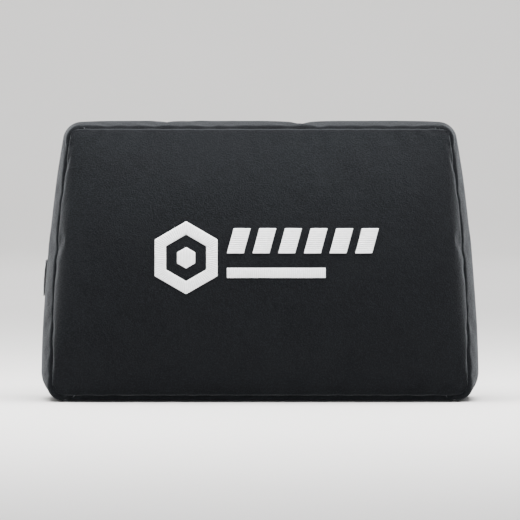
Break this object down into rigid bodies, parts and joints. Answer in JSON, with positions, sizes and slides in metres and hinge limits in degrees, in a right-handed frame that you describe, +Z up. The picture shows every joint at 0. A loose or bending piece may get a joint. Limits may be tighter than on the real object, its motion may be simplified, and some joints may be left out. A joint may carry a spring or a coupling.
{
  "type": "lumbar support cushion",
  "caption": "Upright wedge-shaped lumbar cushion with a crowned velour face, bellied side gusset, flat back and base, and a zip across the back of its cover.",
  "frame": {"origin": "middle of the bounding box, at the level of the base the cushion stands on", "axes": "+X along the cushion's width, +Z up, +Y out of its flat back; the crowned face looks along -Y"},
  "size_m": [0.3566, 0.0998, 0.225],
  "materials": {
    "foam": "matte",
    "liner_knit": "matte",
    "face_velour": "matte",
    "gusset_velour": "matte",
    "back_cloth": "matte",
    "zip_tape": "matte",
    "zip_coil": "satin",
    "zip_metal": "gloss",
    "stitch_thread": "satin",
    "label_satin": "satin"
  },
  "bodies": {
    "cushion": {"foam_core": "foam", "liner_front": "liner_knit", "liner_back": "liner_knit", "face_panel": "face_velour", "boxing_strip": "gusset_velour", "boxing_bottom": "gusset_velour", "back_panel_upper": "back_cloth", "back_panel_lower": "back_cloth", "zip_tape_upper": "zip_tape", "zip_tape_lower": "zip_tape", "zip_coil_upper": "zip_coil", "zip_coil_lower": "zip_coil", "zip_top_stop_upper": "zip_metal", "zip_top_stop_lower": "zip_metal", "zip_bottom_stop": "zip_metal", "zip_end_tab_left": "back_cloth", "zip_end_tab_right": "back_cloth", "emblem_ring": "stitch_thread", "emblem_centre": "stitch_thread", "dash_1": "stitch_thread", "dash_2": "stitch_thread", "dash_3": "stitch_thread", "dash_4": "stitch_thread", "dash_5": "stitch_thread", "dash_6": "stitch_thread", "stripe_lower": "stitch_thread", "care_label": "label_satin"},
    "slider": {"zip_slider_body": "zip_metal"},
    "pull": {"zip_pull_tab": "zip_metal"}
  },
  "joints": [
    {"name": "zip_slide", "type": "slide", "parent": "cushion", "child": "slider", "axis": [1, 0, 0], "range_m": [0, 0.27087]},
    {"name": "pull_flip", "type": "hinge", "parent": "slider", "child": "pull", "pos_m": [-0.13544, 0.0475, 0.045], "axis": [0, 0, 1], "range_deg": [0, 180]}
  ]
}
